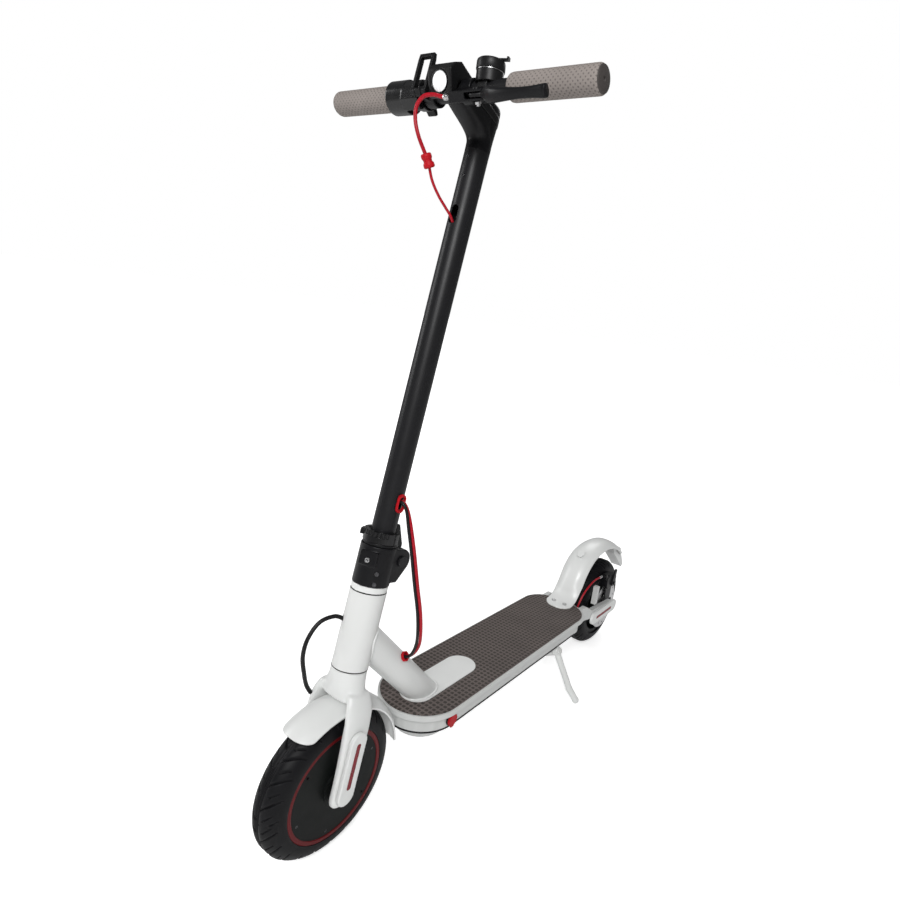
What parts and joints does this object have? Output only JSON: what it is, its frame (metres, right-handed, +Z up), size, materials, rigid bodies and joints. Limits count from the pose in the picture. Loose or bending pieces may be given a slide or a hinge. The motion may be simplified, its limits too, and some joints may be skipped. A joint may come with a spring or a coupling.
{
  "type": "electric kick scooter",
  "caption": "Folding electric kick scooter with front hub motor, rear disc brake, foot deck, kickstand, fenders and a T-bar with headlight, throttle and brake lever.",
  "frame": {"origin": "on the ground, at the middle of the overall length and width, with the scooter standing upright on both tyres and its kickstand", "axes": "+X forward, +Y to the rider's left, +Z up"},
  "size_m": [1.094, 0.43, 1.0936],
  "materials": {
    "white_paint": "satin white powder coat",
    "grey_paint": "satin pale grey powder coat",
    "black_paint": "satin black powder coat",
    "white_plastic": "smooth white moulding",
    "black_plastic": "fine textured black moulding",
    "gloss_black": "polished black moulding",
    "mat_rubber": "dimpled dark taupe mat",
    "grip_rubber": "dotted grey-taupe grip",
    "tyre_rubber": "moulded tread",
    "red_rubber": "smooth red rubber",
    "red_cable": "smooth red sleeve",
    "motor_black": "matt black casting",
    "dark_red": "dark red band",
    "reflector_red": "ribbed reflector",
    "steel": "zinc plated",
    "lamp": "clear lens over a reflector",
    "battery_wrap": "shrink wrap",
    "circuit_case": "sealed controller case",
    "button": "smooth button"
  },
  "bodies": {
    "frame": {"neck": "white_paint", "deck_tray": "grey_paint", "deck_mat": "mat_rubber", "bottom_cover": "grey_paint", "battery_pack": "battery_wrap", "controller": "circuit_case", "charge_socket": "black_plastic", "headset_bearings": "steel", "rear_fender": "white_plastic", "fender_catch": "white_plastic", "tail_light": "white_plastic", "frame_screws": "steel", "arm_caps": "white_plastic", "rear_reflectors": "reflector_red", "rear_axle": "steel", "brake_caliper": "black_paint", "kickstand_bracket": "white_paint", "frame_grommets": "red_rubber", "frame_cables": "red_cable"},
    "caliper_arm": {"caliper_arm": "black_paint"},
    "kickstand": {"kickstand": "white_paint"},
    "charge_cap": {"charge_cap": "red_rubber"},
    "rear_wheel": {"rear_rim": "motor_black", "rear_bearings": "steel", "rear_tyre": "tyre_rubber", "brake_disc": "steel"},
    "fork": {"fork": "white_paint", "fork_trim": "white_plastic", "front_reflectors": "reflector_red", "front_fender": "white_plastic", "motor_stator": "steel", "hinge_base": "black_paint", "hinge_pin": "black_paint", "fork_bolts": "steel", "motor_cable": "black_plastic"},
    "front_wheel": {"motor_shell": "motor_black", "motor_screws": "steel", "rim_rings": "dark_red", "front_tyre": "tyre_rubber"},
    "fold_lever": {"fold_lever": "black_paint"},
    "safety_ring": {"safety_ring": "gloss_black"},
    "stem": {"stem_tube": "black_paint", "hinge_upper": "black_paint", "top_casting": "black_paint", "stem_screws": "steel", "handlebar": "black_paint", "grips": "grip_rubber", "dash_housing": "black_plastic", "headlight": "lamp", "throttle_body": "gloss_black", "brake_perch": "black_paint", "bell_body": "black_plastic", "catch_bracket": "black_plastic", "stem_grommets": "red_rubber", "stem_cables": "red_cable"},
    "throttle_lever": {"throttle_lever": "black_plastic"},
    "brake_lever": {"brake_lever": "black_paint"},
    "bell_lever": {"bell_lever": "black_plastic"},
    "catch_loop": {"catch_loop": "black_plastic"},
    "power_button": {"power_button": "button"}
  },
  "joints": [
    {"name": "steering", "type": "hinge", "parent": "frame", "child": "fork", "pos_m": [0.4444, 0, 0.10905], "axis": [-0.1908, 0, 0.9816], "range_deg": [-60, 60], "deforming": ["motor_cable", "frame_cables", "stem_cables"]},
    {"name": "front_wheel_spin", "type": "hinge", "parent": "fork", "child": "front_wheel", "pos_m": [0.439, 0, 0.108], "axis": [0, 1, 0], "continuous": true},
    {"name": "rear_wheel_spin", "type": "hinge", "parent": "frame", "child": "rear_wheel", "pos_m": [-0.41, 0, 0.108], "axis": [0, 1, 0], "continuous": true},
    {"name": "stem_fold", "type": "hinge", "parent": "fork", "child": "stem", "pos_m": [0.35762, 0, 0.42449], "axis": [0, -1, 0], "range_deg": [0, 100]},
    {"name": "fold_lever_turn", "type": "hinge", "parent": "fork", "child": "fold_lever", "pos_m": [0.37851, -0.02758, 0.40104], "axis": [0.9336, -0.309, 0.1815], "range_deg": [0, 110]},
    {"name": "safety_ring_turn", "type": "hinge", "parent": "stem", "child": "safety_ring", "pos_m": [0.37615, 0, 0.46018], "axis": [-0.1908, 0, 0.9816], "range_deg": [-30, 0]},
    {"name": "brake_lever_pull", "type": "hinge", "parent": "stem", "child": "brake_lever", "pos_m": [0.35886, 0.06, 1.03638], "axis": [0.4848, 0, 0.8746], "range_deg": [0, 13], "stiffness_Nm_per_rad": 0.6, "springref_deg": -17.19},
    {"name": "caliper_arm_turn", "type": "hinge", "parent": "frame", "child": "caliper_arm", "pos_m": [-0.406, 0.049, 0.174], "axis": [0, 1, 0], "range_deg": [0, 18]},
    {"name": "throttle_press", "type": "hinge", "parent": "stem", "child": "throttle_lever", "pos_m": [0.33263, -0.063, 1.05093], "axis": [0, -1, 0], "range_deg": [0, 38], "stiffness_Nm_per_rad": 0.06, "springref_deg": -22.92},
    {"name": "bell_strike", "type": "hinge", "parent": "stem", "child": "bell_lever", "pos_m": [0.33263, 0.055, 1.08493], "axis": [0, 0, 1], "range_deg": [0, 25], "stiffness_Nm_per_rad": 0.02, "springref_deg": -5.73},
    {"name": "catch_loop_swing", "type": "hinge", "parent": "stem", "child": "catch_loop", "pos_m": [0.36006, -0.0335, 1.04607], "axis": [0, 1, 0], "range_deg": [0, 100]},
    {"name": "power_button_press", "type": "slide", "parent": "stem", "child": "power_button", "axis": [0.3536, 0, -0.9354], "range_m": [0, 0.0008], "stiffness_N_per_m": 300},
    {"name": "kickstand_swing", "type": "hinge", "parent": "frame", "child": "kickstand", "pos_m": [-0.114, 0.066, 0.11], "axis": [0, 0.8876, 0.4606], "range_deg": [0, 72]},
    {"name": "charge_cap_swing", "type": "hinge", "parent": "frame", "child": "charge_cap", "pos_m": [0.243, 0.0707, 0.1225], "axis": [-1, 0, 0], "range_deg": [0, 140]}
  ],
  "couplings": [
    {"joint": "caliper_arm_turn", "follows": "brake_lever_pull", "ratio": 1.3846}
  ]
}
